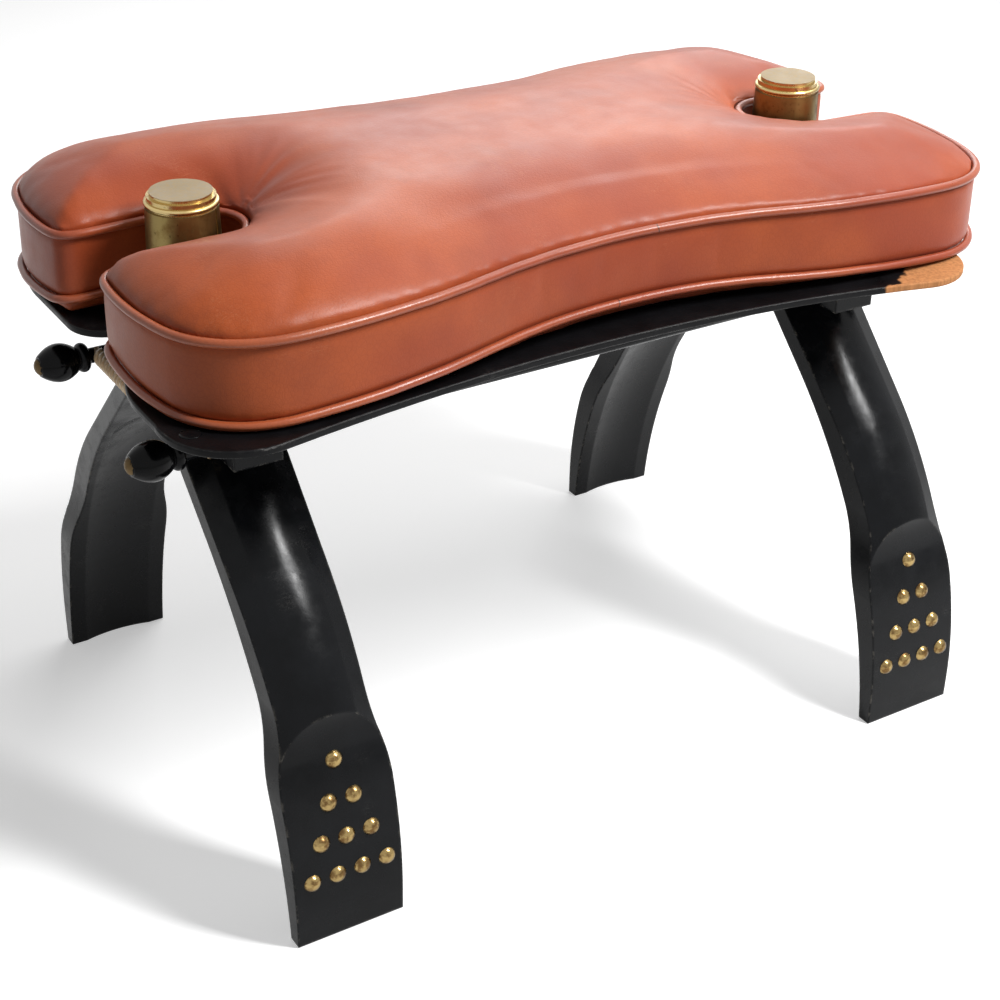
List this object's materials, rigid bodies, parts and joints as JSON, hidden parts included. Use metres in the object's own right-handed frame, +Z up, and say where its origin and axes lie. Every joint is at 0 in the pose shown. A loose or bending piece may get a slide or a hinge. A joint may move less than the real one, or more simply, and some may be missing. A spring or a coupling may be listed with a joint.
{
  "type": "camel saddle stool",
  "caption": "Camel saddle stool with splayed black legs, brass-capped horns, studded feet and a loose boxed leather cushion.",
  "frame": {"origin": "on the floor, midway between the four feet", "axes": "+X along the stool's length towards the right horn, +Y towards the far long side, +Z up"},
  "size_m": [0.608, 0.3962, 0.421],
  "materials": {
    "seat_leather": "satin",
    "piping_leather": "satin",
    "filling": "matte",
    "black_wood": "semi-gloss",
    "board_black_wood": "satin",
    "gloss_black_wood": "gloss",
    "bare_wood": "matte",
    "pale_wood": "matte",
    "cane": "satin",
    "cap_brass": "worn polish",
    "sleeve_brass": "aged",
    "stud_brass": "aged polish",
    "screw_steel": "matte"
  },
  "bodies": {
    "stand": {"far_board_screws": "screw_steel", "far_left_block": "black_wood", "far_left_finial": "gloss_black_wood", "far_left_leg": "black_wood", "far_left_neck_winding": "cane", "far_left_studs": "stud_brass", "far_right_block": "black_wood", "far_right_finial": "gloss_black_wood", "far_right_leg": "black_wood", "far_right_neck_winding": "cane", "far_right_studs": "stud_brass", "far_rod": "black_wood", "far_seat_board": "board_black_wood", "left_bar_winding": "cane", "left_cap_sleeve": "sleeve_brass", "left_cap_tack": "stud_brass", "left_cap_top": "cap_brass", "left_cross_bar": "pale_wood", "left_horn_dowel": "bare_wood", "left_horn_post": "bare_wood", "near_board_button": "gloss_black_wood", "near_board_screws": "screw_steel", "near_left_block": "black_wood", "near_left_finial": "gloss_black_wood", "near_left_leg": "black_wood", "near_left_neck_winding": "cane", "near_left_studs": "stud_brass", "near_right_block": "black_wood", "near_right_finial": "gloss_black_wood", "near_right_leg": "black_wood", "near_right_neck_winding": "cane", "near_right_studs": "stud_brass", "near_rod": "black_wood", "near_seat_board": "board_black_wood", "right_bar_winding": "cane", "right_cap_sleeve": "sleeve_brass", "right_cap_tack": "stud_brass", "right_cap_top": "cap_brass", "right_cross_bar": "pale_wood", "right_horn_dowel": "bare_wood", "right_horn_post": "bare_wood"},
    "cushion": {"cushion_core": "filling", "cushion_top_panel": "seat_leather", "cushion_boxing": "seat_leather", "cushion_bottom_panel": "seat_leather", "top_piping": "piping_leather", "bottom_piping": "piping_leather"}
  },
  "joints": [
    {"name": "cushion_lift", "type": "slide", "parent": "stand", "child": "cushion", "axis": [0, 0, 1], "range_m": [0, 0.12]}
  ]
}
